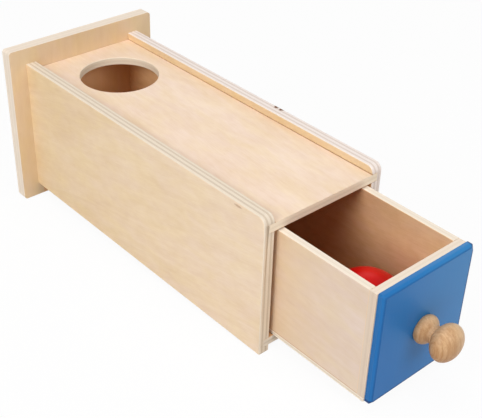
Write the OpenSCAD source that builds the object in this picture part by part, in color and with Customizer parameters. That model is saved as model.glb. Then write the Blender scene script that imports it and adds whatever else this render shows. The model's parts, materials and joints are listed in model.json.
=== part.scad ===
// Object permanence box: a plywood casing with a ball hole, a loose drawer with a painted front and a
// turned knob, and a ball. The front faces -Y, +X is to the right seen from the front, and +Z is up.
// The back plate reaches lower than the sides, so the box stands leaning a little forward, on the
// plate's lower edge and on the front corners of its sides. Each piece is drawn square in the casing's
// own frame, with y = 0 at the front edge of the sides and z = 0 under them, and then leaned as one.

/* [Casing] */
// Width over the two sides
casing_w = 104; // [90:1:140]
// Height of a side
casing_h = 107; // [90:1:140]
// Length of a side, from its front edge to the back plate
casing_l = 270; // [230:1:340]
// Thickness of a side
side_t = 9; // [7.5:0.5:14]
// Thickness of the top and bottom panels
panel_t = 6.3; // [4:0.1:9]
// Height of a side above the top panel
rim_h = 5.5; // [3:0.5:10]
// Height of the bottom panel above the foot of a side
foot_h = 4.5; // [3:0.5:10]
// Depth of the grooves in a side that hold the panels
groove_d = 5; // [3:0.5:6]
// Room round a panel in its groove
groove_clear = 0.1; // [0.05:0.05:0.3]
// Radius of the upper front corner of a side
nose_r = 5.5; // [2:0.5:10]

/* [Ball and hole] */
// Diameter of the ball hole
hole_d = 60; // [45:1:75]
// Distance of the hole's centre from the back plate
hole_back = 48.5; // [42:0.5:60]
// How much smaller the ball is than the hole, or than the drawer where that is narrower
ball_play = 4; // [2:0.5:10]
// Gap between the ball and the drawer walls that it lies against
ball_clear = 0.3; // [0.1:0.1:1]

/* [Back plate] */
// Thickness of the back plate
back_t = 10; // [6:0.5:15]
// How far the plate stands out past each side
back_side = 13.5; // [4:0.5:25]
// How far the plate stands above the sides
back_top = 12.5; // [4:0.5:25]
// How far the plate reaches below the sides
back_drop = 10.5; // [4:0.5:20]
// Radius of the plate's corners
back_r = 2.5; // [1:0.5:10]

/* [Drawer] */
// Gap between the drawer and each side of the casing
drawer_gap = 3; // [2:0.25:5]
// Gap under the drawer
drawer_under = 0.5; // [0.2:0.1:1]
// Gap over the drawer
drawer_over = 0.9; // [0.3:0.1:3]
// Gap between the closed drawer and the back plate
drawer_behind = 1; // [0.5:0.5:5]
// Thickness of the drawer walls
wall_t = 5.5; // [4:0.5:8]
// Thickness of the drawer bottom
floor_t = 3.5; // [2:0.5:5]
// How far the drawer is pulled out
drawer_out = 85; // [0:1:150]
// Thickness of the painted front
front_t = 5; // [4:0.5:9]
// How far the drawer's left side stands out past the painted front
front_inset = 1.3; // [0:0.1:3]
// Gap between the painted front and the right side of the casing
front_gap = 0.4; // [0.3:0.1:3]
// Bevel round the painted front's face
front_bevel = 1.7; // [0.5:0.1:3]

/* [Knob] */
// Diameter of the knob's head
head_d = 25.4; // [18:0.2:35]
// Length of the head along the knob
head_l = 17.2; // [10:0.2:24]
// Diameter of the knob's foot
foot_d = 19.6; // [14:0.2:28]
// Length of the foot along the knob
foot_l = 9; // [6:0.5:14]
// Distance of the foot's widest ring from the front
foot_swell = 2.6; // [2:0.2:5]
// Diameter of the neck between foot and head
neck_d = 12.4; // [8:0.2:16]
// Length of the whole knob
knob_l = 27; // [20:0.5:40]
// How far the knob sits below the middle of the front
knob_below = 1.6; // [-5:0.2:5]

/* [Fasteners] */
// Diameter of a pin
pin_d = 1.2; // [0.8:0.1:1.6]
// Diameter of a pin's head
pin_head_d = 2; // [1.6:0.1:3]
// Thickness of a pin's head
pin_head_t = 0.8; // [0.5:0.1:1.5]
// Depth that a pin reaches into the second piece
pin_grip = 12; // [6:1:20]
// Room round a pin or screw in its hole
pin_clear = 0.05; // [0.02:0.01:0.2]
// Diameter of the knob screw
screw_d = 3.5; // [2.5:0.5:5]
// Diameter of the knob screw's head
screw_head_d = 7; // [5:0.5:9]
// Depth that the screw reaches into the knob
screw_grip = 12; // [6:1:15]
// Width of the screw's cross slots
slot_w = 0.9; // [0.5:0.1:1.5]
// Depth of the screw's cross slots
slot_depth = 1; // [0.5:0.1:1.5]

/* [Hidden] */
$fn = 64;

// How far a cutting shape runs past the face that it cuts
cut = 1;
// Angle between two points of an ellipse
ellipse_step = 6;
// Places of the pins along a long edge and along a short one, as shares of its length
long_shares = [0.15, 0.5, 0.85];
short_shares = [0.2, 0.8];

// Casing
inner_w = casing_w - 2 * side_t;
panel_w = inner_w + 2 * (groove_d - groove_clear);
bottom_z = foot_h;
top_z = casing_h - rim_h - panel_t;
opening_h = top_z - bottom_z - panel_t;
hole_y = casing_l - hole_back;
plate_w = casing_w + 2 * back_side;
plate_h = casing_h + back_top + back_drop;

// Drawer, in a frame with y = 0 at its painted face and z = 0 under it
drawer_w = inner_w - 2 * drawer_gap;
drawer_h = opening_h - drawer_under - drawer_over;
drawer_l = casing_l - drawer_behind;
drawer_z = bottom_z + panel_t + drawer_under;
wall_h = drawer_h - floor_t;
wall_front_y = front_t + wall_t;
wall_back_y = drawer_l - wall_t;
bay_w = drawer_w - 2 * wall_t;
ball_d = min(hole_d, bay_w) - ball_play;
front_left = front_inset - drawer_w / 2;
front_right = inner_w / 2 - front_gap;
front_w = front_right - front_left;
front_mid = (front_left + front_right) / 2;

// Knob
knob_z = drawer_h / 2 - knob_below;
head_mid = knob_l - head_l / 2;
screw_head_t = (screw_head_d - screw_d) / 2;

// Lean of the standing box, and the shift that puts the origin under the middle of its box
lean = atan2(back_drop, casing_l);
knob_reach = norm([head_l / 2 * cos(lean), head_d / 2 * sin(lean)]);
nose_y = -(drawer_out + head_mid) * cos(lean) - (drawer_z + knob_z) * sin(lean) - knob_reach;
tail_y = (casing_l + back_t) * cos(lean) + back_drop * sin(lean);

// Places of the pins, as pairs across the face that they are driven into
side_pin_x = (casing_w - side_t) / 2;
back_pin_spots = concat(
  [for (x = [-side_pin_x, side_pin_x], share = long_shares) [x, casing_h * share]],
  [[0, bottom_z + panel_t / 2], [0, top_z + panel_t / 2]]
);
wall_pin_x = (drawer_w - wall_t) / 2;
wall_l = wall_back_y - wall_front_y;
wall_pin_spots = [for (x = [-wall_pin_x, wall_pin_x], share = short_shares) [x, floor_t + wall_h * share]];
floor_pin_spots = concat(
  [for (x = [-wall_pin_x, wall_pin_x], share = long_shares) [x, wall_front_y + wall_l * share]],
  [[0, front_t + wall_t / 2], [0, drawer_l - wall_t / 2]]
);

// Shared shapes

// Leans the casing's frame onto the floor that the box stands on
module stand() {
  translate([0, -(nose_y + tail_y) / 2, 0]) rotate([lean, 0, 0]) children();
}

// Places the drawer's own frame where the drawer stands in the casing
module pulled_out() {
  translate([0, -drawer_out, drawer_z]) children();
}

// Turns a shape that stands along +Z so that it points along -Y from a face at the given y
module facing_front(y) {
  translate([0, y, 0]) rotate([90, 0, 0]) children();
}

// Turns a shape that stands along +Z so that it points along +Y from a face at the given y
module facing_back(y) {
  translate([0, y, 0]) rotate([-90, 0, 0]) mirror([0, 1, 0]) children();
}

// A rectangle with round corners, standing on the X axis
module rounded_rectangle(w, h, r) {
  translate([-w / 2 + r, 0]) square([w - 2 * r, h]);
  translate([-w / 2, r]) square([w, h - 2 * r]);
  for (x = [-w / 2 + r, w / 2 - r], y = [r, h - r]) {
    translate([x, y]) circle(r);
  }
}

// A rectangle, with its two corners at y = 0 cut off, from -w / 2 to w / 2
module bevelled_bar(w, t, bevel) {
  polygon([
    [-w / 2 + bevel, 0], [w / 2 - bevel, 0], [w / 2, bevel],
    [w / 2, t], [-w / 2, t], [-w / 2, bevel]
  ]);
}

// Half an ellipse round the point at the given height, cut off below the axis' foot
module half_ellipse(radius, half, middle) {
  intersection() {
    polygon([for (a = [-90:ellipse_step:90]) [radius * cos(a), middle + half * sin(a)]]);
    square([radius, middle + half]);
  }
}

// A pin that hangs down from the top of its head at z = 0, through a piece of the given thickness
module pin(through) {
  translate([0, 0, -pin_head_t]) cylinder(d = pin_head_d, h = pin_head_t);
  translate([0, 0, -through - pin_grip]) cylinder(d = pin_d, h = through + pin_grip);
}

// The hole that takes a pin
module pin_hole(through) {
  head_depth = pin_head_t + pin_clear;
  pin_depth = through + pin_grip + pin_clear;
  translate([0, 0, -head_depth]) cylinder(d = pin_head_d + 2 * pin_clear, h = head_depth + cut);
  translate([0, 0, -pin_depth]) cylinder(d = pin_d + 2 * pin_clear, h = pin_depth);
}

// Casing

// One side in profile, as Y and Z, with its upper front corner rounded
module side_profile() {
  translate([nose_r, 0]) square([casing_l - nose_r, casing_h]);
  square([casing_l, casing_h - nose_r]);
  translate([nose_r, casing_h - nose_r]) circle(nose_r);
}

// The left side, grooved for both panels and drilled for the back plate's pins
module side() {
  groove_h = panel_t + 2 * groove_clear;
  difference() {
    translate([-casing_w / 2, 0, 0]) rotate([90, 0, 90]) linear_extrude(side_t) side_profile();
    for (z = [bottom_z, top_z]) {
      translate([-inner_w / 2 - groove_d, -cut, z - groove_clear])
        cube([groove_d + cut, casing_l + 2 * cut, groove_h]);
    }
    back_pin_holes();
  }
}

module back_pin_holes() {
  facing_back(casing_l + back_t) for (p = back_pin_spots) translate(p) pin_hole(back_t);
}

// A panel that lies in the grooves of both sides
module panel(z) {
  translate([-panel_w / 2, 0, z]) cube([panel_w, casing_l, panel_t]);
}

module left_side() {
  color("burlywood") side();
}

module right_side() {
  color("burlywood") mirror([1, 0, 0]) side();
}

module top_panel() {
  color("wheat") difference() {
    panel(top_z);
    translate([0, hole_y, top_z - cut]) cylinder(d = hole_d, h = panel_t + 2 * cut);
    back_pin_holes();
  }
}

module bottom_panel() {
  color("wheat") difference() {
    panel(bottom_z);
    back_pin_holes();
  }
}

module back_plate() {
  color("burlywood") difference() {
    translate([0, casing_l + back_t, -back_drop]) rotate([90, 0, 0])
      linear_extrude(back_t) rounded_rectangle(plate_w, plate_h, back_r);
    back_pin_holes();
  }
}

module back_plate_pins() {
  color("silver") facing_back(casing_l + back_t) for (p = back_pin_spots) translate(p) pin(back_t);
}

// Drawer

module wall_pin_holes() {
  facing_front(front_t) for (p = wall_pin_spots) translate(p) pin_hole(wall_t);
  facing_back(drawer_l) for (p = wall_pin_spots) translate(p) pin_hole(wall_t);
}

module floor_pin_holes() {
  mirror([0, 0, 1]) for (p = floor_pin_spots) translate(p) pin_hole(floor_t);
}

module knob_screw_hole() {
  facing_back(wall_front_y) translate([front_mid, knob_z, 0]) {
    countersink_d = screw_head_d + 2 * pin_clear;
    depth = wall_front_y + screw_grip + pin_clear;
    translate([0, 0, -depth]) cylinder(d = screw_d + 2 * pin_clear, h = depth);
    translate([0, 0, -screw_head_t - pin_clear])
      cylinder(d1 = screw_d, d2 = countersink_d, h = screw_head_t + pin_clear);
    cylinder(d = countersink_d, h = cut);
  }
}

// A wall across the drawer, as wide as the drawer box
module cross_wall(y) {
  translate([-drawer_w / 2, y, floor_t]) cube([drawer_w, wall_t, wall_h]);
}

// The left wall of the drawer, between the two cross walls
module long_wall() {
  difference() {
    translate([-drawer_w / 2, wall_front_y, floor_t]) cube([wall_t, wall_l, wall_h]);
    wall_pin_holes();
    floor_pin_holes();
  }
}

module drawer_left_side() {
  color("tan") pulled_out() long_wall();
}

module drawer_right_side() {
  color("tan") pulled_out() mirror([1, 0, 0]) long_wall();
}

module drawer_inner_front() {
  color("wheat") pulled_out() difference() {
    cross_wall(front_t);
    wall_pin_holes();
    floor_pin_holes();
    knob_screw_hole();
  }
}

module drawer_back() {
  color("wheat") pulled_out() difference() {
    cross_wall(wall_back_y);
    wall_pin_holes();
    floor_pin_holes();
  }
}

module drawer_bottom() {
  color("tan") pulled_out() difference() {
    translate([-drawer_w / 2, front_t, 0]) cube([drawer_w, drawer_l - front_t, floor_t]);
    floor_pin_holes();
  }
}

module drawer_front() {
  color("steelblue") pulled_out() difference() {
    translate([front_mid, 0, 0]) intersection() {
      linear_extrude(drawer_h) bevelled_bar(front_w, front_t, front_bevel);
      translate([-front_w / 2, 0, drawer_h / 2]) rotate([0, 90, 0])
        linear_extrude(front_w) bevelled_bar(drawer_h, front_t, front_bevel);
    }
    knob_screw_hole();
  }
}

module knob() {
  color("peru") pulled_out() difference() {
    facing_front(0) translate([front_mid, knob_z, 0]) rotate_extrude() {
      half_ellipse(foot_d / 2, foot_l - foot_swell, foot_swell);
      square([neck_d / 2, head_mid]);
      half_ellipse(head_d / 2, head_l / 2, head_mid);
    }
    knob_screw_hole();
  }
}

module knob_screw() {
  color("silver") pulled_out() facing_back(wall_front_y) translate([front_mid, knob_z, 0]) difference() {
    union() {
      translate([0, 0, -wall_front_y - screw_grip]) cylinder(d = screw_d, h = wall_front_y + screw_grip);
      translate([0, 0, -screw_head_t]) cylinder(d1 = screw_d, d2 = screw_head_d, h = screw_head_t);
    }
    for (turn = [0, 90]) {
      rotate([0, 0, turn]) translate([-screw_d / 2, -slot_w / 2, -slot_depth])
        cube([screw_d, slot_w, slot_depth + cut]);
    }
  }
}

module drawer_front_pins() {
  color("silver") pulled_out() facing_front(front_t) for (p = wall_pin_spots) translate(p) pin(wall_t);
}

module drawer_back_pins() {
  color("silver") pulled_out() facing_back(drawer_l) for (p = wall_pin_spots) translate(p) pin(wall_t);
}

module drawer_bottom_pins() {
  color("silver") pulled_out() mirror([0, 0, 1]) for (p = floor_pin_spots) translate(p) pin(floor_t);
}

// The ball lies in the front left corner of the drawer, where the lean of the box rolls it
module ball() {
  reach = ball_d / 2 + ball_clear;
  color("firebrick") pulled_out()
    translate([reach - bay_w / 2, wall_front_y + reach, floor_t + reach]) sphere(d = ball_d);
}

stand() left_side();
stand() right_side();
stand() top_panel();
stand() bottom_panel();
stand() back_plate();
stand() back_plate_pins();
stand() drawer_left_side();
stand() drawer_right_side();
stand() drawer_inner_front();
stand() drawer_back();
stand() drawer_bottom();
stand() drawer_front();
stand() knob();
stand() knob_screw();
stand() drawer_front_pins();
stand() drawer_back_pins();
stand() drawer_bottom_pins();
stand() ball();
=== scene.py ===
"""Looks of an object permanence box: plywood boards, a painted drawer front, a turned knob and a ball.

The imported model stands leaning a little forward. The boards are worked in the casing's own square frame,
with y = 0 at the front edge of the sides and z = 0 under them, and are leaned again when they are done.
"""

import json
import math
from typing import NamedTuple

import bmesh
import bpy
from bpy.props import FloatProperty, FloatVectorProperty, IntProperty, PointerProperty
from mathutils import Matrix, Vector


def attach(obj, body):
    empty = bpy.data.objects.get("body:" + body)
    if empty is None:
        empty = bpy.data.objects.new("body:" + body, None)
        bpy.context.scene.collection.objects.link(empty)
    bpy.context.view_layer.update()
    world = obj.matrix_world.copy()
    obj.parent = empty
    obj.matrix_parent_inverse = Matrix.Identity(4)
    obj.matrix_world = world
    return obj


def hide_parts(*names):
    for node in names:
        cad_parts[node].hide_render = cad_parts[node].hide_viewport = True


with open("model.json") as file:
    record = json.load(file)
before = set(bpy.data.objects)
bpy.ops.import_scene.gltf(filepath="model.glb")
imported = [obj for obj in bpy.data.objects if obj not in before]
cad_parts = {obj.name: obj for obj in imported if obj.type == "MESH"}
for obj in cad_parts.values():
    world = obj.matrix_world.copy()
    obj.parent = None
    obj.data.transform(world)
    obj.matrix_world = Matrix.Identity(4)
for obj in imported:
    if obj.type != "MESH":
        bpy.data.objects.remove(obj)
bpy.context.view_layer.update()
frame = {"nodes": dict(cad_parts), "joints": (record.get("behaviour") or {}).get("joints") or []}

bl_info = {
    "name": "Object permanence box",
    "version": (1, 0, 0),
    "blender": (4, 5, 0),
    "location": "View3D > Sidebar > Ball box",
    "description": "Makes the boards, painted front, knob, ball and pins of a wooden ball box with a drawer",
    "category": "Object",
}

MM = 0.001
X, Y, Z = range(3)


def mm(*lengths):
    """Lengths given in millimetres, in metres."""
    return tuple(each * MM for each in lengths)


def srgb(*levels):
    """A colour given as on screen, from 0 to 255, as the linear values that a shader takes."""
    shares = [each / 255 for each in levels]
    return tuple(share / 12.92 if share <= 0.04045 else ((share + 0.055) / 1.055) ** 2.4 for share in shares)


# The casing's square frame


def lean_angle():
    """How far the box leans forward, from the direction in which its drawer slides."""
    slide = next(joint for joint in frame["joints"] if joint["name"] == "drawer_slide")
    return math.atan2(-slide["axis"][Z], -slide["axis"][Y])


def box_of(points):
    """Lowest and highest corner of some points."""
    lowest = Vector([min(point[axis] for point in points) for axis in (X, Y, Z)])
    highest = Vector([max(point[axis] for point in points) for axis in (X, Y, Z)])
    return lowest, highest


LEAN = lean_angle()


def square_up():
    """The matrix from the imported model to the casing's square frame."""
    turn = Matrix.Rotation(-LEAN, 4, "X")
    corner, _ = box_of([turn @ v.co for v in frame["nodes"]["left_side"].data.vertices])
    return Matrix.Translation((0, -corner.y, -corner.z)) @ turn


SQUARE = square_up()
STAND = SQUARE.inverted()


def square_box(node):
    """Lowest and highest corner of a node in the casing's square frame."""
    return box_of([SQUARE @ v.co for v in frame["nodes"][node].data.vertices])


# Settings


def length(name, description, millimetres):
    """A length that a user may change."""
    kind = {"subtype": "DISTANCE", "unit": "LENGTH", "precision": 5}
    return FloatProperty(name=name, description=description, default=millimetres * MM, min=0, **kind)


def colour(name, description, default):
    """A colour that a user may change."""
    kind = {"subtype": "COLOR", "size": 3, "max": 1}
    return FloatVectorProperty(name=name, description=description, default=default, min=0, **kind)


def level(name, description, default):
    """A plain number that a user may change."""
    return FloatProperty(name=name, description=description, default=default, min=0)


def angle(name, description, degrees):
    """An angle that a user may change."""
    return FloatProperty(name=name, description=description, default=math.radians(degrees), subtype="ANGLE")


class PlywoodSettings(bpy.types.PropertyGroup):
    """Colours and rounded edges of the plywood boards"""

    veneer: colour("Veneer", "Light colour of a board's face", srgb(244, 220, 192))
    honey: colour("Honey streaks", "Darker colour in the grain of a board's face", srgb(222, 188, 146))
    cut_long: colour("Long plies", "Plies that are cut along their grain", srgb(243, 230, 212))
    cut_end: colour("End plies", "Plies that are cut across their grain", srgb(214, 196, 173))
    glue: colour("Glue lines", "Thin lines between the plies", srgb(176, 142, 108))
    # Joint lines are partly painted shade in the creases where the boards meet
    seam: colour("Joint lines", "Thin lines where two boards meet", srgb(172, 122, 76))
    knot: colour("Knots", "Knots and dark flaws in the wood", srgb(110, 66, 36))
    casing_edge: length("Casing edge", "Rounding along the edges of the sides", 0.9)
    plate_edge: length("Back plate edge", "Rounding along the edges of the back plate", 1.4)
    panel_edge: length("Panel edge", "Rounding along the front edges of the panels", 0.3)
    hole_edge: length("Hole edge", "Rounding along the rim of the ball hole", 0.9)
    drawer_edge: length("Drawer edge", "Rounding along the edges of the drawer walls", 0.5)


class FrontSettings(bpy.types.PropertyGroup):
    """Paint and edges of the drawer's front"""

    paint: colour("Blue paint", "Colour of the painted front", srgb(24, 106, 173))
    # The thin paint's colour also serves the painted sheen towards the upper right, and the thick paint's
    # colour the painted shade along the right and bottom edges.
    worn: colour("Thin paint", "Colour where the paint is thin", srgb(40, 130, 188))
    thick: colour("Thick paint", "Colour where the paint has run and lies thick", srgb(4, 46, 104))
    edge: length("Bevel edge", "Rounding of the two edges along the bevel", 0.45)
    corner: length("Corner", "Rounding of three of the front's corners", 0.9)
    worn_corner: length("Worn corner", "Rounding of the front's upper right corner", 2.4)


class KnobSettings(bpy.types.PropertyGroup):
    """Shape and wood of the turned knob"""

    head_length: length("Head length", "Length of the head along the knob", 17.2)
    foot_width: length("Foot width", "Diameter of the foot", 19.6)
    foot_length: length("Foot length", "Length of the foot along the knob", 9)
    foot_swell: length("Foot swell", "Height of the foot's widest ring", 2.6)
    neck_width: length("Neck width", "Diameter of the neck", 12.4)
    fillet: length("Fillet", "How softly the neck runs into foot and head", 1.8)
    steps: IntProperty(name="Steps", description="Corners round the knob", default=72, min=12, max=200)
    rows: IntProperty(name="Rows", description="Rings along the knob", default=110, min=20, max=300)
    light: colour("Light beech", "Lighter wood of the knob", srgb(221, 184, 142))
    # The dark beech also carries the painted shade at the knob's lower left.
    dark: colour("Dark beech", "Darker wood of the knob", srgb(158, 100, 40))
    fleck: colour("Flecks", "Short dark flecks in the beech", srgb(146, 98, 58))


class BallSettings(bpy.types.PropertyGroup):
    """Paint and form of the ball"""

    paint: colour("Red paint", "Colour of the ball", srgb(229, 14, 12))
    deep: colour("Deep paint", "Colour where the paint is thick", srgb(204, 12, 12))
    flat: length("Pole flat", "Depth of the small flats where the ball was held for turning", 0.08)


class PinSettings(bpy.types.PropertyGroup):
    """Shape and metal of the pins and the screw"""

    head_width: length("Head width", "Diameter of a pin's head", 2)
    head_height: length("Head height", "Thickness of a pin's head", 0.8)
    shank_width: length("Shank width", "Diameter of a pin's shank", 1.2)
    chamfer: length("Chamfer", "Chamfer round the top of a pin's head", 0.15)
    tip: length("Tip length", "Length of a pin's point", 2)
    sides: IntProperty(name="Sides", description="Corners round a pin", default=20, min=6, max=64)
    steel: colour("Steel", "Colour of the pins and the screw", srgb(188, 188, 192))


class StageSettings(bpy.types.PropertyGroup):
    """Camera, light and floor"""

    azimuth: angle("Azimuth", "Camera's turn round the box", -41.226)
    elevation: angle("Elevation", "Camera's angle above the floor", 32.188)
    distance: length("Distance", "Camera's distance from the point it looks at", 690.95)
    target: FloatVectorProperty(
        name="Target",
        description="Point that the camera looks at",
        default=mm(2.305, -3.937, 52.861),
        subtype="TRANSLATION",
        unit="LENGTH",
    )
    lens: level("Lens", "Focal length in millimetres on a sensor 36 mm wide", 73.04)
    sky: level("Sky", "Strength of the even white light from all round", 0.18)
    key: level("Key light", "Power of the large soft lamp at the left of the box, in watts", 13.6)
    top: level("Top light", "Power of the soft lamp above the box, in watts", 11.3)
    fill: level("Fill light", "Power of the soft lamp at the front, in watts", 11.0)
    rear: level("Rear light", "Power of the weak soft lamp behind the box, in watts", 5.0)
    floor: colour("Floor", "Colour of the floor", (0.88, 0.88, 0.88))
    white: level("White share", "How much of the seen floor is plain white, so shadows stay faint", 0.94)


# Nodes


class Wire:
    """An output of a node that takes part in Python expressions, in a shader or in a geometry tree."""

    def __init__(self, tree, socket=None):
        self.tree = tree
        self.socket = socket

    def node(self, kind, settings=None, sockets=None, out=0):
        """Adds a node: its settings first, then the values or links of its sockets. Returns one output."""
        made = self.tree.nodes.new(kind)
        for name, value in (settings or {}).items():
            setattr(made, name, value)
        for name, value in (sockets or {}).items():
            if isinstance(value, Wire):
                self.tree.links.new(value.socket, made.inputs[name])
            else:
                made.inputs[name].default_value = value
        return Wire(self.tree, made.outputs[out]) if made.outputs else None

    def math(self, operation, *values):
        """Adds a Math node on these values."""
        return self.node("ShaderNodeMath", {"operation": operation}, dict(enumerate(values)))

    def __add__(self, other):
        return self.math("ADD", self, other)

    __radd__ = __add__

    def __sub__(self, other):
        return self.math("SUBTRACT", self, other)

    def __rsub__(self, other):
        return self.math("SUBTRACT", other, self)

    def __mul__(self, other):
        return self.math("MULTIPLY", self, other)

    __rmul__ = __mul__

    def __truediv__(self, other):
        return self.math("DIVIDE", self, other)

    def __rtruediv__(self, other):
        return self.math("DIVIDE", other, self)

    def swing(self, weight):
        """A noise from 0 to 1 moved to lie round 0, times a weight."""
        return (self - 0.5) * weight

    def clamp(self):
        """This value kept between 0 and 1."""
        return self.node("ShaderNodeClamp", None, {"Value": self})

    def size(self):
        """This value without its sign."""
        return self.math("ABSOLUTE", self)

    def parts(self):
        """The three parts of a vector."""
        split = self.node("ShaderNodeSeparateXYZ", None, {0: self})
        return [Wire(self.tree, socket) for socket in split.socket.node.outputs]

    def joined(self, *parts):
        """A vector of three parts."""
        return self.node("ShaderNodeCombineXYZ", None, dict(enumerate(parts)))

    def smooth(self, start, end):
        """Rises softly from 0 at start to 1 at end, which may lie below start."""
        settings = {"interpolation_type": "SMOOTHSTEP"}
        return self.node("ShaderNodeMapRange", settings, {"Value": self, "From Min": start, "From Max": end})

    def mix(self, first, second):
        """A colour between two, at this share of the second."""
        ends = {6: opaque(first), 7: opaque(second)}
        return self.node("ShaderNodeMix", {"data_type": "RGBA"}, {0: self, **ends}, out=2)

    def times(self, other):
        """This colour multiplied by another."""
        settings = {"data_type": "RGBA", "blend_type": "MULTIPLY"}
        return self.node("ShaderNodeMix", settings, {0: 1.0, 6: self, 7: opaque(other)}, out=2)

    def placed(self, centre=(0, 0, 0), turn=(0, 0, 0), size=(1, 1, 1)):
        """These coordinates measured from a centre along turned axes, in units of the given sizes."""
        sockets = {"Vector": self, "Location": centre, "Rotation": turn, "Scale": size}
        return self.node("ShaderNodeMapping", {"vector_type": "TEXTURE"}, sockets)

    def noise(self, size, seed=0.0, turn=0.0, detail=2.0, twist=0.0):
        """Noise whose features have these sizes along the coordinates, turned in their first plane."""
        place = self.placed((seed, seed * 0.7, seed * 0.4), (0, 0, turn), size)
        sockets = {"Vector": place, "Scale": 1.0, "Detail": detail, "Distortion": twist}
        return self.node("ShaderNodeTexNoise", None, sockets)

    def far(self):
        """The length of a vector."""
        return self.node("ShaderNodeVectorMath", {"operation": "LENGTH"}, {0: self}, out="Value")


def opaque(value):
    """A colour's four values, or the wire that carries it."""
    return value if isinstance(value, Wire) else (*value, 1.0)


def new_material(name):
    """An empty material. Returns it and a wire into its tree."""
    material = bpy.data.materials.new(name)
    material.use_nodes = True
    material.node_tree.nodes.clear()
    return material, Wire(material.node_tree)


def finish_material(base, rough, height, bump, others):
    """Ends a material in one shader with a bump, and with other values on the shader's own sockets."""
    strength, reach = bump
    normal = base.node("ShaderNodeBump", None, {"Strength": strength, "Distance": reach, "Height": height})
    sockets = {"Base Color": base, "Roughness": rough, "Normal": normal, **others}
    shader = base.node("ShaderNodeBsdfPrincipled", None, sockets)
    base.node("ShaderNodeOutputMaterial", None, {"Surface": shader})


def square_place(wire, corner):
    """Coordinates in the casing's square frame, measured from a corner."""
    place = wire.node("ShaderNodeTexCoord", out="Object")
    shift = SQUARE.to_translation() - Vector(corner)
    sockets = {"Vector": place, "Location": shift, "Rotation": (-LEAN, 0, 0)}
    return wire.node("ShaderNodeMapping", None, sockets)


# Boards


def even(tint):
    """A tint that is the same at the front and at the rear."""
    return tint, tint


# Tints multiply a board's own colour. A face wanders between the faint yellow and the faint pink one.
PLAIN = (1.0, 1.0, 1.0)
YELLOW = (1.005, 1.0, 0.95)
PINK = (1.0, 0.99, 1.05)
# The rim tint is painted bounce light, the warm glow from the top panel on the sides' faces above it
RIM_BOUNCE_TINT = (0.97, 0.95, 0.80)

# Pairs of tints, at the front and at the rear: raw wood in the casing, the drawer's walls inside and
# outside, and the drawer's floor. They hold painted shade: the casing's raw inside is darker and warmer
# than its faces, and the drawer's tints darken towards the rear, where the drawer runs under the casing.
RAW_AND_SHADE = even((0.98, 0.77, 0.53))
AMBER_AND_SHADE = ((1.0, 0.92, 0.74), (0.74, 0.49, 0.33))
PALE_AND_SHADE = ((0.88, 0.91, 1.01), (0.89, 0.82, 0.68))
TAN_AND_SHADE = ((0.86, 0.70, 0.50), (0.80, 0.60, 0.42))

# Where the front tint starts to run into the rear one, and where it ends: along the casing and the drawer
WHOLE_LENGTH = mm(0, 270)
PULLED = mm(-80, 50)

# The inside of the box lies under this height, and no further than this from its middle
TOP_LEVEL = 100 * MM
INSIDE = 47 * MM


class Grain(NamedTuple):
    """A feature of the wood: its sizes along the grain, across it and through the board in millimetres, its
    noise's detail and twist, how much it darkens a face, and what raw wood adds to that.
    """

    sizes: tuple
    detail: float = 2.0
    twist: float = 0.0
    share: float = 0.0
    raw_share: float = 0.0


CLOUD = Grain((60, 24, 24), share=0.6)
MOTTLE = Grain((9, 4.5, 4.5), 3, share=0.5, raw_share=0.4)
FIBRE = Grain((9, 0.6, 0.6), 3, share=0.5, raw_share=0.25)
STREAK = Grain((120, 6, 6), 3, 0.5, share=0.16)
FLECK = Grain((3.2, 0.5, 0.5), 1, share=0.2)
RINGS = Grain((190, 34, 34), 1, share=0.05)
HUE = Grain((24, 11, 11), 2, 0.4)
RIPPLE = Grain((18, 18, 18), 1)
SPECK = Grain((0.5, 0.5, 0.3))
RING_COUNT = 60

# The share of honey in a plain face, and how much of it the figure takes away
FACE_SHARE = 0.25
FIGURE_DROP = 0.03

# A cross ply's thickness beside a long one's, how far the plies wave, and how soft their borders are
CROSS_SHARE = 0.55
PLY_WAVE = 0.35 * MM
PLY_BLUR = 0.05 * MM

# How near each starts to show and how near it shows fully: glue lines, joint lines, cut ends and faces
GLUE_REACH = mm(0.15, 0.04)
SEAM_REACH = mm(0.7, 0.15)
END_REACH = mm(0.4, 0.1)
FACE_REACH = mm(0.3, 0.12)

# How strong the glue lines and the joint lines are
GLUE_DEPTH = 0.4
SEAM_DEPTH = 0.6


class Mark(NamedTuple):
    """A knot or flaw: its centre in the casing's square frame, its half sizes, its depth and its colour."""

    centre: tuple
    half: tuple
    depth: float = 1.0
    colour: str = "knot"


class Seam(NamedTuple):
    """A joint line on a board, partly painted crease shade: the axis it is measured along, its level and
    which face has it.
    """

    axis: int
    level: float
    inner: bool = True


class Board(NamedTuple):
    """How a board is cut: its body, its plies, and the axes of its thickness and of its grain.

    Its inner face is at the high end of its thickness where inner_end is 1, and else at the low end. The
    outer face takes the tint of its shade, and the inner one that of its lining inside the box and of its
    rim outside. Towards the rear a tint runs into its second value. The figure is the strength of its grain,
    and the contrast that of the plies on its cut edges. Its cut edges take the tint of its edge, and those
    across its grain that of its ends as well.
    """

    body: str
    plies: int
    thickness: int
    grain: int
    turn: float
    seed: float
    inner_end: int
    shade: tuple = even(PLAIN)
    lining: tuple = even(PLAIN)
    rim: tuple = PLAIN
    rear: tuple = WHOLE_LENGTH
    figure: float = 1.0
    contrast: float = 1.0
    edge: tuple = PLAIN
    ends: tuple = PLAIN
    marks: tuple = ()
    seams: tuple = ()


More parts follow.
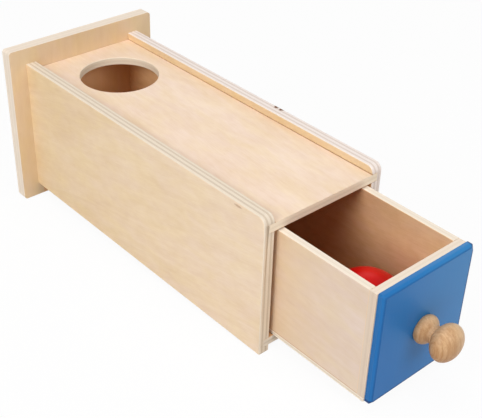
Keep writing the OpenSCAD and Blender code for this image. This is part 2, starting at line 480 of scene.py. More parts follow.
LEFT_KNOT = Mark(mm(-52, 24.1, 104.6), mm(2, 4, 1), 0.55, "seam")
RIGHT_FLAWS = (
    Mark(mm(51.4, 100.2, 107), mm(2.8, 2.4, 2)),
    Mark(mm(51.4, 95.2, 107), mm(2.8, 2.1, 2)),
)
# Joint lines, each partly painted shade in the crease where two boards meet
RIM_SEAM = Seam(Z, 101.5 * MM)
FLOOR_SEAM = Seam(Z, 14.8 * MM, False)
PANEL_SEAMS = (Seam(X, -43 * MM, False), Seam(X, 43 * MM, False), Seam(Y, 270 * MM, False))
BOARDS = {
    # The left side's outer face darkens and yellows towards the rear: painted shade and bounce light from
    # the back plate
    "left_side": Board(
        "casing", 5, X, Y, -0.18, 0.31, 1,
        shade=((0.965, 0.98, 0.98), (0.92, 0.905, 0.79)), lining=RAW_AND_SHADE, rim=RIM_BOUNCE_TINT,
        edge=(0.925, 0.91, 0.89), marks=(LEFT_KNOT,), seams=(RIM_SEAM,),
    ),
    "right_side": Board(
        "casing", 5, X, Y, -0.06, 1.73, 0,
        lining=RAW_AND_SHADE, rim=RIM_BOUNCE_TINT, contrast=0.85,
        edge=(1.0, 1.01, 1.13), marks=RIGHT_FLAWS, seams=(RIM_SEAM,),
    ),
    # The top panel's cut edges, the ball hole's wall among them, are tinted paler and warmer as painted
    # light
    "top_panel": Board(
        "casing", 3, Z, Y, 0.08, 2.91, 0,
        shade=even((1.0, 1.01, 1.06)), lining=RAW_AND_SHADE, contrast=0.35,
        edge=(1.06, 1.03, 0.97), seams=PANEL_SEAMS,
    ),
    "bottom_panel": Board("casing", 3, Z, Y, -0.05, 4.27, 1, lining=RAW_AND_SHADE, contrast=0.7),
    # The back plate's front face is darker and warmer inside the box: painted shade seen through the ball
    # hole
    "back_plate": Board(
        "casing", 5, Y, Z, 0.04, 5.83, 0,
        lining=even((0.92, 0.70, 0.49)), rim=(0.91, 0.885, 0.785), figure=0.5, contrast=0.25,
        edge=(0.98, 0.96, 0.96),
    ),
    "drawer_left_side": Board(
        "drawer", 3, X, Y, 0.06, 6.41, 1,
        shade=PALE_AND_SHADE, lining=AMBER_AND_SHADE, rear=PULLED, figure=0.75, contrast=0.35, seams=(FLOOR_SEAM,),
    ),
    "drawer_right_side": Board(
        "drawer", 3, X, Y, -0.09, 7.79, 0,
        shade=PALE_AND_SHADE, lining=AMBER_AND_SHADE, rear=PULLED, contrast=0.35, seams=(FLOOR_SEAM,),
    ),
    "drawer_inner_front": Board(
        "drawer", 3, Y, X, 0.03, 8.53, 1,
        lining=AMBER_AND_SHADE, rear=PULLED, contrast=0.25, edge=(0.96, 0.93, 0.92), ends=(0.855, 0.81, 0.775),
    ),
    "drawer_back": Board("drawer", 3, Y, X, -0.04, 9.17, 0, lining=AMBER_AND_SHADE, rear=PULLED, contrast=0.35),
    "drawer_bottom": Board("drawer", 3, Z, Y, 0.05, 10.37, 1, lining=TAN_AND_SHADE, rear=PULLED, contrast=0.8),
}


def plywood(node):
    """The material of one board: veneer with grain on its faces, and plies on its cut edges."""
    wood = bpy.context.scene.box_plywood
    board = BOARDS[node]
    low, high = square_box(node)
    deep_axis, long_axis = board.thickness, board.grain
    cross_axis = X + Y + Z - deep_axis - long_axis
    thick, span = high[deep_axis] - low[deep_axis], high[long_axis] - low[long_axis]

    material, wire = new_material("plywood_" + node)
    place = square_place(wire, low)
    parts = place.parts()
    deep, along = parts[deep_axis], parts[long_axis]
    grain = wire.joined(along, parts[cross_axis], deep)

    def drawn(feature):
        sizes = mm(*feature.sizes)
        return grain.noise(sizes, board.seed, board.turn, feature.detail, feature.twist)

    # The faces
    cloud, mottle, fibre, speck = drawn(CLOUD), drawn(MOTTLE), drawn(FIBRE), drawn(SPECK)
    streak = drawn(STREAK).smooth(0.5, 0.78)
    fleck = drawn(FLECK).smooth(0.66, 0.76)
    rings = wire.math("SINE", drawn(RINGS) * RING_COUNT)
    middle_skin = (0.45, 0.55) if board.inner_end else (0.55, 0.45)
    inward = (deep / thick).smooth(*middle_skin)
    aft = (parts[Y] + low.y).smooth(*board.rear)
    above = (parts[Z] + low.z).smooth(TOP_LEVEL - 1 * MM, TOP_LEVEL)
    beside = (parts[X] + low.x).size().smooth(INSIDE, INSIDE + 1 * MM)
    outside = wire.math("MAXIMUM", above, beside)
    raw = inward * (1 - outside)
    figure = streak * STREAK.share - FIGURE_DROP + fleck * FLECK.share + rings * RINGS.share
    for noise, feature in ((cloud, CLOUD), (mottle, MOTTLE), (fibre, FIBRE)):
        figure = figure + noise.swing(feature.share + raw * feature.raw_share)
    warm = (FACE_SHARE + figure * board.figure).clamp()
    # Inside the box the inner faces take their lining, raw wood with painted shade. Above it they take their
    # rim, which on the sides is painted bounce light.
    lined = outside.mix(aft.mix(*board.lining), board.rim)
    hue = drawn(HUE).smooth(0.25, 0.75)
    tint = inward.mix(aft.mix(*board.shade), lined).times(hue.mix(YELLOW, PINK))
    veneer = warm.mix(wood.veneer, wood.honey).times(tint)

    # The cut edges
    long_ply = thick / ((board.plies - 1) / 2 * (1 + CROSS_SHARE) + 1)
    ply = wire.math("FLOORED_MODULO", deep + drawn(RIPPLE).swing(PLY_WAVE), long_ply * (1 + CROSS_SHARE))
    crossed = ply.smooth(long_ply - PLY_BLUR, long_ply + PLY_BLUR)
    end_grain = crossed * (0.75 + speck.swing(1.1)) + (1 - crossed) * (fibre.swing(0.5) + 0.08)
    cut = (end_grain * board.contrast).clamp().mix(wood.cut_long, wood.cut_end)
    from_line = wire.math("MINIMUM", (ply - long_ply).size(), ply)
    line = from_line.smooth(*GLUE_REACH) * (GLUE_DEPTH * board.contrast)
    at_end = wire.math("MINIMUM", along, span - along).smooth(*END_REACH)
    cut = line.mix(cut, wood.glue).times(board.edge).times(at_end.mix(PLAIN, board.ends))

    # Joint lines, which are partly painted shade in the creases, and knots and flaws
    on_face = wire.math("MINIMUM", deep, thick - deep).smooth(*FACE_REACH)
    base = on_face.mix(cut, veneer)
    for seam in board.seams:
        from_seam = (parts[seam.axis] - (seam.level - low[seam.axis])).size()
        faced = on_face * (inward if seam.inner else 1 - inward)
        base = (from_seam.smooth(*SEAM_REACH) * faced * SEAM_DEPTH).mix(base, wood.seam)
    for mark in board.marks:
        reach = place.placed(Vector(mark.centre) - low, size=mark.half).far() + speck.swing(0.9)
        base = (reach.smooth(1.1, 0.55) * mark.depth).mix(base, getattr(wood, mark.colour))

    rough = 0.52 + cloud.swing(0.2) + (1 - on_face) * 0.14
    height = fibre * on_face + speck * (1 - on_face)
    finish_material(base, rough, height, (0.22, 0.12 * MM), {"Specular IOR Level": 0.35})
    return material


# Meshes


def clean_mesh(node):
    """A node's shape as a closed mesh with flat faces, in the casing's square frame."""
    shape = bmesh.new()
    shape.from_mesh(frame["nodes"][node].data)
    bmesh.ops.remove_doubles(shape, verts=shape.verts, dist=0.001 * MM)
    shape.transform(SQUARE)
    flat = math.radians(0.5)
    bmesh.ops.dissolve_limit(shape, angle_limit=flat, verts=shape.verts, edges=shape.edges)
    return shape


def near(value, *others):
    """Whether a coordinate lies on one of some planes."""
    return any(abs(value - other) < 0.005 * MM for other in others)


def middle_of(edge):
    """The middle of an edge."""
    return (edge.verts[0].co + edge.verts[1].co) / 2


def sharp_edges(shape, least_angle):
    """The outer edges of a mesh at which its faces turn by more than an angle in degrees."""
    return [
        edge
        for edge in shape.edges
        if len(edge.link_faces) == 2 and edge.calc_face_angle_signed(0) > math.radians(least_angle)
    ]


def in_face(edge, axis, low, high):
    """Whether an edge lies in one of the two faces of a box that stand across an axis."""
    planes = (low[axis], high[axis])
    return any(all(near(vert.co[axis], plane) for vert in edge.verts) for plane in planes)


def from_border(edge, low, high):
    """How far the middle of an edge lies inside the outline of a box, seen along Y."""
    middle = middle_of(edge)
    return min(middle.x - low.x, high.x - middle.x, middle.z - low.z, high.z - middle.z)


def on_box(edge, low, high, skipped=()):
    """Whether an edge runs along the outline of a box, and on none of the skipped planes."""
    middle = middle_of(edge)
    planes = [
        (axis, side)
        for axis in (X, Y, Z)
        for side, corner in enumerate((low, high))
        if near(middle[axis], corner[axis])
    ]
    return len(planes) > 1 and not any(plane in skipped for plane in planes)


def round_edges(shape, node, roundings, least_angle=30):
    """Rounds sharp edges. Each rounding is a test of an edge in its node's box, a width and segments."""
    low, high = square_box(node)
    for picks, width, segments in roundings:
        bmesh.ops.bevel(
            shape,
            geom=[edge for edge in sharp_edges(shape, least_angle) if picks(edge, low, high)],
            offset=width,
            offset_type="OFFSET",
            segments=segments,
            profile=0.5,
            affect="EDGES",
            clamp_overlap=True,
        )


def baked(piece):
    """A piece's mesh with its modifiers applied."""
    seen = piece.evaluated_get(bpy.context.evaluated_depsgraph_get())
    return bpy.data.meshes.new_from_object(seen)


def add_mesh(name, mesh, material, body, slot, *nodes):
    """Adds a mesh that is already in place as a piece, with evenly shaded flats and soft roundings."""
    mesh.polygons.foreach_set("use_smooth", [True] * len(mesh.polygons))
    mesh.set_sharp_from_angle(angle=math.radians(38))
    mesh.materials.clear()
    mesh.materials.append(material)
    piece = bpy.data.objects.new(name, mesh)
    bpy.context.scene.collection.objects.link(piece)
    shading = piece.modifiers.new("Even shading", "WEIGHTED_NORMAL")
    shading.keep_sharp = True
    piece.data = baked(piece)
    piece.modifiers.clear()
    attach(piece, body)
    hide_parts(*nodes)


def add_piece(name, shape, material, body, slot, *nodes):
    """Turns a mesh in the casing's square frame into a finished piece that stands for its nodes."""
    shape.transform(STAND)
    mesh = bpy.data.meshes.new(name)
    shape.to_mesh(mesh)
    shape.free()
    add_mesh(name, mesh, material, body, slot, *nodes)


def add_board(node, *roundings):
    """Adds one board with its rounded edges."""
    shape = clean_mesh(node)
    round_edges(shape, node, roundings)
    add_piece("plywood_" + node, shape, plywood(node), BOARDS[node].body, "birch_ply", node)


# Geometry trees


def new_tree(name, settings, *others):
    """An empty geometry tree, and a wire from each input: a group's lengths and counts and other lengths."""
    tree = bpy.data.node_groups.new(name, "GeometryNodeTree")
    tree.is_modifier = True
    kinds = {"geometry": "Geometry", "material": "Material", **dict.fromkeys(others, "Float")}
    for setting in settings.bl_rna.properties:
        if setting.subtype == "DISTANCE" or setting.type == "INT":
            kinds[setting.identifier] = setting.type.capitalize()
    for label, kind in kinds.items():
        tree.interface.new_socket(label, in_out="INPUT", socket_type="NodeSocket" + kind)
    tree.interface.new_socket("geometry", in_out="OUTPUT", socket_type="NodeSocketGeometry")
    ports = tree.nodes.new("NodeGroupInput").outputs
    return tree, {port.name: Wire(tree, port) for port in ports if port.name}


def end_tree(shape, material):
    """Ends a geometry tree: real geometry, smooth shading and one material."""
    real = shape.node("GeometryNodeRealizeInstances", None, {"Geometry": shape})
    smooth = shape.node("GeometryNodeSetShadeSmooth", None, {"Geometry": real})
    coated = shape.node("GeometryNodeSetMaterial", None, {"Geometry": smooth, "Material": material})
    shape.node("NodeGroupOutput", None, {0: coated})


def grown(name, seed_mesh, tree, settings, **others):
    """The plain mesh that a geometry tree makes from a seed mesh, some settings and other values."""
    holder = bpy.data.objects.new(name, seed_mesh)
    bpy.context.scene.collection.objects.link(holder)
    modifier = holder.modifiers.new(tree.name, "NODES")
    modifier.node_group = tree
    for item in tree.interface.items_tree:
        if item.in_out == "INPUT" and item.name != "geometry":
            given = item.name in others
            modifier[item.identifier] = others[item.name] if given else getattr(settings, item.name)
    mesh = baked(holder)
    bpy.data.objects.remove(holder)
    return mesh


def lathe_sheet(wire, steps, rows):
    """A sheet to be turned round Z. Returns it, and the angle and the row at each of its points."""
    sizes = {"Size X": 1.0, "Size Y": 1.0, "Vertices X": steps + 1, "Vertices Y": rows + 1}
    sheet = wire.node("GeometryNodeMeshGrid", None, sizes)
    across, along, _ = wire.node("GeometryNodeInputPosition").parts()
    return sheet, (across + 0.5) * math.tau, (along + 0.5) * rows


def turned(sheet, turn, radius, height):
    """Wraps a sheet round Z, and closes its seam and its two ends."""
    place = sheet.joined(radius * sheet.math("COSINE", turn), radius * sheet.math("SINE", turn), height)
    shape = sheet.node("GeometryNodeSetPosition", None, {"Geometry": sheet, "Position": place})
    return sheet.node("GeometryNodeMergeByDistance", None, {"Geometry": shape, "Distance": 0.002 * MM})


def knob_tree():
    """A turned knob along Z: a swelling foot, a neck and a flattened round head."""
    tree, ports = new_tree("turned_knob", bpy.context.scene.box_knob, "length", "head_width")
    wire = Wire(tree)
    rows, fillet, swell = ports["rows"], ports["fillet"], ports["foot_swell"]
    sheet, turn, row = lathe_sheet(wire, ports["steps"], rows)
    share = wire.math("MAXIMUM", (row - 1) / (rows - 1), 0.0)
    height = ports["length"] * (1 - (1 - share) * (1 - share))

    def ellipse(width, half, middle):
        offset = (height - middle) / half
        return width * 0.5 * wire.math("SQRT", wire.math("MAXIMUM", 1 - offset * offset, 0.0))

    foot = ellipse(ports["foot_width"], ports["foot_length"] - swell, swell)
    middle = ports["length"] - ports["head_length"] * 0.5
    head = ellipse(ports["head_width"], ports["head_length"] * 0.5, middle)
    stem = wire.math("SMOOTH_MAX", foot, ports["neck_width"] * 0.5, fillet)
    stem = wire.math("SMOOTH_MAX", stem, head, fillet)
    below = wire.math("LESS_THAN", height, middle)
    radius = (below * stem + (1 - below) * head) * wire.math("GREATER_THAN", row, 0.5)
    end_tree(turned(sheet, turn, radius, height), ports["material"])
    return tree


def pin_tree():
    """Pins at the points of a mesh, each pointing along its facing and as long as its reach."""
    tree, ports = new_tree("pins", bpy.context.scene.box_pins)
    wire = Wire(tree)
    head, shank = ports["head_width"] * 0.5, ports["shank_width"] * 0.5
    tall, tip, chamfer = ports["head_height"], ports["tip"], ports["chamfer"]
    stub = tall * 2
    outline = (
        (0.0, stub + tip),
        (shank * 0.1, stub + tip),
        (shank, stub),
        (shank, tall),
        (head * 0.94, tall),
        (head, chamfer),
        (head - chamfer, 0.0),
        (0.0, 0.0),
    )
    last_of_shank = 2
    sheet, turn, row = lathe_sheet(wire, ports["sides"], len(outline) - 1)
    here = [wire.math("COMPARE", row, float(index), 0.25) for index in range(len(outline))]
    radius = sum(at * wide for at, (wide, _) in zip(here, outline))
    depth = sum(at * below for at, (_, below) in zip(here, outline))
    in_shank = wire.math("LESS_THAN", row, last_of_shank + 0.5)
    stored = {"Geometry": sheet, "Name": "shank_end", "Value": in_shank}
    sheet = wire.node("GeometryNodeStoreNamedAttribute", None, stored)
    pin = turned(sheet, turn, radius, 0 - depth)

    def attribute(name, kind="FLOAT"):
        return wire.node("GeometryNodeInputNamedAttribute", {"data_type": kind}, {"Name": name})

    facing, reach = attribute("facing", "FLOAT_VECTOR"), attribute("reach")
    aim = wire.node("FunctionNodeAlignRotationToVector", {"axis": "Z"}, {"Vector": facing})
    spots = {"Points": ports["geometry"], "Rotation": aim, "Instance": pin}
    pins = wire.node("GeometryNodeInstanceOnPoints", None, spots)
    pins = wire.node("GeometryNodeRealizeInstances", None, {"Geometry": pins})
    pull = {0: facing, "Scale": (stub + tip - reach) * attribute("shank_end")}
    offset = wire.node("ShaderNodeVectorMath", {"operation": "SCALE"}, pull)
    pins = wire.node("GeometryNodeSetPosition", None, {"Geometry": pins, "Offset": offset})
    end_tree(pins, ports["material"])
    return tree


def pin_spots(node, facing):
    """The middle of each pin's head in a node, its facing and the pin's length, in a fixed order."""
    shape = clean_mesh(node)
    left = set(shape.verts)
    spots = []
    while left:
        pin, fresh = set(), [left.pop()]
        while fresh:
            vert = fresh.pop()
            pin.add(vert)
            fresh += [edge.other_vert(vert) for edge in vert.link_edges if edge.other_vert(vert) in left]
            left.difference_update(fresh)
        low, high = box_of([vert.co for vert in pin])
        reach = abs((high - low).dot(facing))
        spots.append(((low + high) / 2 + facing * reach / 2, facing, reach))
    shape.free()
    return sorted(spots, key=lambda spot: tuple(spot[0]))


def add_pins(name, body, groups):
    """Adds all the pins of one body. Each group is a node and the direction that its heads face."""
    rows = [row for node, facing in groups.items() for row in pin_spots(node, facing)]
    seeds = bpy.data.meshes.new(name + "_spots")
    seeds.from_pydata([spot for spot, _, _ in rows], [], [])
    facings = seeds.attributes.new("facing", "FLOAT_VECTOR", "POINT")
    facings.data.foreach_set("vector", [value for _, facing, _ in rows for value in facing])
    reaches = seeds.attributes.new("reach", "FLOAT", "POINT")
    reaches.data.foreach_set("value", [reach for _, _, reach in rows])
    material = steel("pin_steel_" + body)
    mesh = grown(name, seeds, pin_tree(), bpy.context.scene.box_pins, material=material)
    mesh.transform(STAND)
    add_mesh(name, mesh, material, body, "steel", *groups)


# Other finishes


def steel(name):
    """Plain drawn steel with faint scratches."""
    bright = bpy.context.scene.box_pins.steel
    material, wire = new_material(name)
    place = square_place(wire, (0, 0, 0))
    dull = place.noise(mm(1.5, 1.5, 1.5))
    scratch = place.noise(mm(0.12, 0.9, 0.12), turn=0.6)
    base = dull.mix(bright, [value * 0.7 for value in bright])
    rough = 0.3 + dull.swing(0.25) + scratch.swing(0.2)
    finish_material(base, rough, scratch, (0.15, 0.03 * MM), {"Metallic": 1.0})
    return material


def blue_paint():
    """Satin paint of uneven cover, with a painted sheen to the upper right, a darker bevel line and painted
    shade on two edges.
    """
    front = bpy.context.scene.box_front
    low, high = square_box("drawer_front")
    width, height = high.x - low.x, high.z - low.z
    material, wire = new_material("blue_paint")
    place = square_place(wire, low)
    side, _, tall = place.parts()
    cover = place.noise(mm(26, 26, 34), seed=0.4)
    drag = place.noise(mm(1.2, 1.2, 40), seed=0.9, detail=3)
    peel = place.noise(mm(1.1, 1.1, 1.1))
    spread = (side * 0.7 + tall * 0.3) / width
    # The rise towards the upper right is a painted sheen; the two noises are uneven paint.
    thin = (spread * 0.7 - 0.1 + cover.swing(0.4) + drag.swing(0.2)).clamp()
    across = wire.math("MINIMUM", side, width - side)
    border = wire.math("MINIMUM", across, wire.math("MINIMUM", tall, height - tall))
    bevel_line = 1.5 * MM
    dark_bevel_line = (border - bevel_line).size().smooth(*mm(0.7, 0.15)) * (0.2 + cover * 0.3)
    # Painted shade along the right and bottom edges, whose bevels face away from the light
    run = wire.math("MINIMUM", width - side, tall).smooth(*mm(3.2, 1.9)) * 0.85
    base = wire.math("MAXIMUM", dark_bevel_line, run).mix(thin.mix(front.paint, front.worn), front.thick)
    rough = 0.42 + cover.swing(0.16) + peel.swing(0.08)
    coat = spread.smooth(0.15, 0.9) * 0.27 + 0.03
    others = {"Coat Weight": coat, "Coat Roughness": 0.3, "Specular IOR Level": 0.2}
    finish_material(base, rough, peel + drag * 0.5, (0.1, 0.1 * MM), others)
    return material


def red_paint():
    """Glossy paint, a little deeper where it lies thick."""
    ball = bpy.context.scene.box_ball
    low, _ = square_box("ball")
    material, wire = new_material("red_paint")
    place = square_place(wire, low)
    thick = place.noise(mm(14, 14, 14), seed=0.2)
    peel = place.noise(mm(1.6, 1.6, 1.6))
    base = thick.smooth(0.35, 0.8).mix(ball.paint, ball.deep)
    rough = 0.34 + thick.swing(0.12) + peel.swing(0.06)
    finish_material(base, rough, peel, (0.08, 0.08 * MM), {"Specular IOR Level": 0.15})
    return material


def beech():
    """Turned beech: upright rings and fibres, short dark flecks, and painted shade towards the lower left.
    """
    knob = bpy.context.scene.box_knob
    low, high = square_box("knob")
    material, wire = new_material("turned_beech")
    side, along, tall = square_place(wire, (low + high) / 2).parts()
    grain = wire.joined(tall, side, along)
    sway = grain.noise(mm(24, 9, 9), seed=0.3)
    ring = grain.noise(mm(60, 1.3, 3), seed=0.8, twist=0.6)
    fibre = grain.noise(mm(9, 0.4, 0.4), seed=1.1, detail=3)
    fleck = grain.noise(mm(2.6, 0.34, 0.34), seed=1.7, detail=1).smooth(0.66, 0.78)
    tone = 0.44 + sway.swing(0.8) + ring.swing(0.85) + fibre.swing(0.6)
    # Painted shade: the wood darkens towards the bottom and the left of the knob.
    tone = tone - tall / (50 * MM) - side / (38 * MM)
    base = (fleck * 0.35).mix(tone.clamp().mix(knob.light, knob.dark), knob.fleck)
    rough = 0.42 + sway.swing(0.16) + fleck * 0.1
    finish_material(base, rough, fibre - fleck * 0.6, (0.2, 0.08 * MM), {"Specular IOR Level": 0.32})
    return material


# Operators


class BALL_BOX_OT_casing(bpy.types.Operator):
    """Make the two sides and the two panels that they hold"""

    bl_idname = "ball_box.casing"
    bl_label = "Casing"

    def execute(self, context):
        wood = context.scene.box_plywood
        nose_reach, front_margin, rear_margin, hole_reach = mm(6, 20, 10, 32)

        def side_rim(edge, low, high):
            middle = middle_of(edge)
            nose = middle.y < low.y + nose_reach and middle.z > high.z - nose_reach
            rim = near(middle.y, low.y) or near(middle.z, low.z, high.z)
            return in_face(edge, X, low, high) and (rim or nose)

        def panel_rim(edge, low, high):
            first, second = (vert.co for vert in edge.verts)
            return near(first.y, low.y) and near(second.y, low.y) and near(first.z, second.z)

        def hole_rim(edge, low, high):
            points = [vert.co for vert in edge.verts]
            inside = all(low.y + front_margin < point.y < high.y - rear_margin for point in points)
            central = all(abs(point.x) < hole_reach for point in points)
            return in_face(edge, Z, low, high) and inside and central

        for node in ("left_side", "right_side"):
            add_board(node, (side_rim, wood.casing_edge, 3))
        add_board("bottom_panel", (panel_rim, wood.panel_edge, 3))
        add_board("top_panel", (panel_rim, wood.panel_edge, 2), (hole_rim, wood.hole_edge, 3))
        return {"FINISHED"}


class BALL_BOX_OT_back_plate(bpy.types.Operator):
    """Make the back plate with its rounded edges"""

    bl_idname = "ball_box.back_plate"
    bl_label = "Back plate"

    def execute(self, context):
        border, shortest = mm(1.3, 0.3)

        def plate_rim(edge, low, high):
            outer = from_border(edge, low, high) < border and edge.calc_length() > shortest
            return outer and in_face(edge, Y, low, high)

        add_board("back_plate", (plate_rim, context.scene.box_plywood.plate_edge, 3))
        return {"FINISHED"}


class BALL_BOX_OT_drawer_box(bpy.types.Operator):
    """Make the four walls and the bottom of the drawer"""

    bl_idname = "ball_box.drawer_box"
    bl_label = "Drawer box"

    def execute(self, context):
        front_plane, back_plane, top_plane = (Y, 0), (Y, 1), (Z, 1)

        def top_rim(edge, low, high):
            return on_box(edge, low, high, (front_plane, back_plane)) and near(edge.verts[0].co.z, high.z)

        def cross_rim(inner_end):
            def rim(edge, low, high):
                middle = middle_of(edge)
                joint = near(middle.x, low.x, high.x) and near(middle.y, (low, high)[inner_end].y)
                return on_box(edge, low, high) and not joint and not near(middle.z, low.z)

            return rim

        def floor_rim(edge, low, high):
            return on_box(edge, low, high, (top_plane,))

        rims = {
            "drawer_left_side": top_rim,
            "drawer_right_side": top_rim,
            "drawer_inner_front": cross_rim(1),
            "drawer_back": cross_rim(0),
            "drawer_bottom": floor_rim,
        }
        for node, rim in rims.items():
            add_board(node, (rim, context.scene.box_plywood.drawer_edge, 3))
        return {"FINISHED"}


class BALL_BOX_OT_drawer_front(bpy.types.Operator):
    """Make the painted front with its softened bevel"""

    bl_idname = "ball_box.drawer_front"
    bl_label = "Drawer front"

    def execute(self, context):
        front = context.scene.box_front
        bevel, back_gap, corner_reach = mm(3, 0.01, 20)

        def outer(edge, low, high):
            return from_border(edge, low, high) < bevel and middle_of(edge).y < high.y - back_gap

        def corner(edge, low, high):
            return outer(edge, low, high) and not near(edge.verts[0].co.y, edge.verts[1].co.y)

        def upper_right(edge, low):
            return all(min(vert.co.x - low.x, vert.co.z - low.z) > corner_reach for vert in edge.verts)

        def worn_corner(edge, low, high):
            return corner(edge, low, high) and upper_right(edge, low)

        def other_corner(edge, low, high):
            return corner(edge, low, high) and not upper_right(edge, low)

        shape = clean_mesh("drawer_front")
        corners = ((worn_corner, front.worn_corner, 6), (other_corner, front.corner, 4))
        round_edges(shape, "drawer_front", (*corners, (outer, front.edge, 3)), least_angle=20)
        add_piece("painted_front", shape, blue_paint(), "drawer", "blue_paint", "drawer_front")
        return {"FINISHED"}


class BALL_BOX_OT_knob(bpy.types.Operator):
    """Turn the knob"""

    bl_idname = "ball_box.knob"
    bl_label = "Knob"

    def execute(self, context):
        low, high = square_box("knob")
        material = beech()
        sizes = {"length": high.y - low.y, "head_width": high.x - low.x}
        seed = bpy.data.meshes.new("knob_seed")
        mesh = grown("turned_knob", seed, knob_tree(), context.scene.box_knob, material=material, **sizes)
        seat = Vector(((low.x + high.x) / 2, high.y, (low.z + high.z) / 2))
        mesh.transform(STAND @ Matrix.Translation(seat) @ Matrix.Rotation(math.pi / 2, 4, "X"))
        add_mesh("turned_knob", mesh, material, "drawer", "beech", "knob")
        return {"FINISHED"}


class BALL_BOX_OT_fasteners(bpy.types.Operator):
    """Make the pins and the knob's screw"""

    bl_idname = "ball_box.fasteners"
    bl_label = "Fasteners"

    def execute(self, context):
        def every_edge(edge, low, high):
            return True

        front, back, down = Vector((0, -1, 0)), Vector((0, 1, 0)), Vector((0, 0, -1))
        add_pins("casing_pins", "casing", {"back_plate_pins": back})
        drawer_pins = {"drawer_front_pins": front, "drawer_back_pins": back, "drawer_bottom_pins": down}
        add_pins("drawer_pins", "drawer", drawer_pins)
        screw_edge = 0.12 * MM
        shape = clean_mesh("knob_screw")
        round_edges(shape, "knob_screw", ((every_edge, screw_edge, 2),), least_angle=40)
        add_piece("countersunk_screw", shape, steel("screw_steel"), "drawer", "steel", "knob_screw")
        return {"FINISHED"}


class BALL_BOX_OT_ball(bpy.types.Operator):
    """Make the ball, with the small flats left from turning"""

    bl_idname = "ball_box.ball"
    bl_label = "Ball"

    def execute(self, context):
        low, high = square_box("ball")
        centre = (low + high) / 2
        radius = min(high - low) / 2
        flat = context.scene.box_ball.flat
        shape = bmesh.new()
        bmesh.ops.create_cube(shape, size=2)
        bmesh.ops.subdivide_edges(shape, edges=shape.edges, cuts=31, use_grid_fill=True)
        pole = Vector((0.55, -0.3, 0.78)).normalized()
        for vert in shape.verts:
            direction = Vector([math.tan(value * math.pi / 4) for value in vert.co]).normalized()
            reach = direction.dot(pole)
            cut_off = max(0.0, abs(reach) * radius - (radius - flat))
            vert.co = centre + direction * radius - pole * math.copysign(cut_off, reach)
        add_piece("red_ball", shape, red_paint(), "ball", "red_paint", "ball")
        return {"FINISHED"}


# The place and the size of each lamp, in metres. Its power is the stage's setting of the same name.
LAMPS = {
    "key": ((-1.45, -0.25, 0.95), 0.8),
    "top": ((-0.2, -0.1, 1.7), 1.2),
    "fill": ((0.15, -1.55, 1.0), 1.0),
    "rear": ((1.25, 1.2, 1.0), 1.2),
}
FLOOR_HALF = 6.0
SENSOR_WIDTH = 36.0
NEAREST_SEEN = 0.01
WHITE = (1.0, 1.0, 1.0, 1.0)


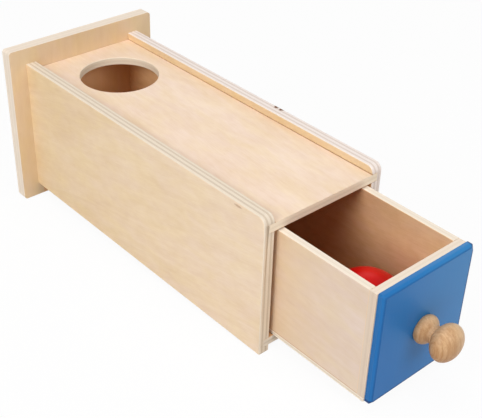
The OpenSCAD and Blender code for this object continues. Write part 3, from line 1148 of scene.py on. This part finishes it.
class BALL_BOX_OT_stage(bpy.types.Operator):
    """Set up the camera, the floor and the soft light"""

    bl_idname = "ball_box.stage"
    bl_label = "Stage"

    def execute(self, context):
        scene, stage = context.scene, context.scene.box_stage
        scene.view_settings.view_transform = "Standard"
        self.add_camera(scene, stage)
        self.add_floor(scene, stage)
        self.add_sky(scene, stage)
        for name, (place, size) in LAMPS.items():
            self.add_lamp(scene, name + "_lamp", Vector(place), size, getattr(stage, name))
        return {"FINISHED"}

    def add_camera(self, scene, stage):
        """Adds the camera at the photograph's viewing angle."""
        flat = math.cos(stage.elevation)
        sideways, forward = math.sin(stage.azimuth) * flat, math.cos(stage.azimuth) * flat
        back = Vector((sideways, -forward, math.sin(stage.elevation)))
        data = bpy.data.cameras.new("camera")
        data.sensor_fit = "HORIZONTAL"
        data.sensor_width = SENSOR_WIDTH
        data.lens = stage.lens
        data.clip_start = NEAREST_SEEN
        camera = bpy.data.objects.new("camera", data)
        camera.location = Vector(stage.target) + back * stage.distance
        camera.rotation_euler = (-back).to_track_quat("-Z", "Y").to_euler()
        scene.collection.objects.link(camera)
        scene.camera = camera

    def seen_directly(self, wire):
        """1 for rays that come from the camera or off gloss and glass, and 0 for the others."""
        first = wire.node("ShaderNodeLightPath", out="Is Camera Ray")
        outputs = first.socket.node.outputs
        gloss = Wire(wire.tree, outputs["Is Glossy Ray"])
        clear = Wire(wire.tree, outputs["Is Transmission Ray"])
        return wire.math("MINIMUM", first + gloss + clear, 1.0)

    def add_floor(self, scene, stage):
        """Adds a wide pale floor that looks white and keeps a faint shadow."""
        mesh = bpy.data.meshes.new("floor")
        turns = ((-1, -1), (1, -1), (1, 1), (-1, 1))
        mesh.from_pydata([(x * FLOOR_HALF, y * FLOOR_HALF, 0) for x, y in turns], [], [(0, 1, 2, 3)])
        material, wire = new_material("floor_white")
        matt = wire.node("ShaderNodeBsdfDiffuse", None, {"Color": opaque(stage.floor)})
        plain = wire.node("ShaderNodeEmission", None, {"Color": WHITE, "Strength": 1.0})
        share = self.seen_directly(wire) * stage.white
        shader = wire.node("ShaderNodeMixShader", None, {0: share, 1: matt, 2: plain})
        wire.node("ShaderNodeOutputMaterial", None, {"Surface": shader})
        mesh.materials.append(material)
        floor = bpy.data.objects.new("floor", mesh)
        scene.collection.objects.link(floor)

    def add_sky(self, scene, stage):
        """Lights the box evenly from all round, in front of a white background."""
        world = bpy.data.worlds.new("white_room")
        world.use_nodes = True
        world.node_tree.nodes.clear()
        wire = Wire(world.node_tree)
        strength = stage.sky + self.seen_directly(wire) * (1 - stage.sky)
        light = wire.node("ShaderNodeBackground", None, {"Color": WHITE, "Strength": strength})
        wire.node("ShaderNodeOutputWorld", None, {"Surface": light})
        scene.world = world

    def add_lamp(self, scene, name, place, size, power):
        """Adds a large square lamp that points at the box."""
        data = bpy.data.lights.new(name, "AREA")
        data.shape = "SQUARE"
        data.size = size
        data.energy = power
        lamp = bpy.data.objects.new(name, data)
        lamp.location = place
        lamp.rotation_euler = (-place).to_track_quat("-Z", "Y").to_euler()
        scene.collection.objects.link(lamp)


class BALL_BOX_PT_sidebar(bpy.types.Panel):
    """The steps that make the box"""

    bl_idname = "BALL_BOX_PT_sidebar"
    bl_label = "Ball box"
    bl_space_type = "VIEW_3D"
    bl_region_type = "UI"
    bl_category = "Ball box"

    def draw(self, context):
        for operator in OPERATORS:
            self.layout.operator(operator.bl_idname)


SETTINGS = {
    "box_plywood": PlywoodSettings,
    "box_front": FrontSettings,
    "box_knob": KnobSettings,
    "box_ball": BallSettings,
    "box_pins": PinSettings,
    "box_stage": StageSettings,
}
OPERATORS = (
    BALL_BOX_OT_stage,
    BALL_BOX_OT_casing,
    BALL_BOX_OT_back_plate,
    BALL_BOX_OT_drawer_box,
    BALL_BOX_OT_drawer_front,
    BALL_BOX_OT_knob,
    BALL_BOX_OT_fasteners,
    BALL_BOX_OT_ball,
)


def register():
    for group in SETTINGS.values():
        bpy.utils.register_class(group)
    for name, group in SETTINGS.items():
        setattr(bpy.types.Scene, name, PointerProperty(type=group))
    for operator in OPERATORS:
        bpy.utils.register_class(operator)
    bpy.utils.register_class(BALL_BOX_PT_sidebar)


def unregister():
    bpy.utils.unregister_class(BALL_BOX_PT_sidebar)
    for operator in reversed(OPERATORS):
        bpy.utils.unregister_class(operator)
    for name in SETTINGS:
        delattr(bpy.types.Scene, name)
    for group in reversed(SETTINGS.values()):
        bpy.utils.unregister_class(group)


def main():
    register()
    bpy.ops.ball_box.stage()
    bpy.ops.ball_box.casing()
    bpy.ops.ball_box.back_plate()
    bpy.ops.ball_box.drawer_box()
    bpy.ops.ball_box.drawer_front()
    bpy.ops.ball_box.knob()
    bpy.ops.ball_box.fasteners()
    bpy.ops.ball_box.ball()


if __name__ == "__main__":
    main()
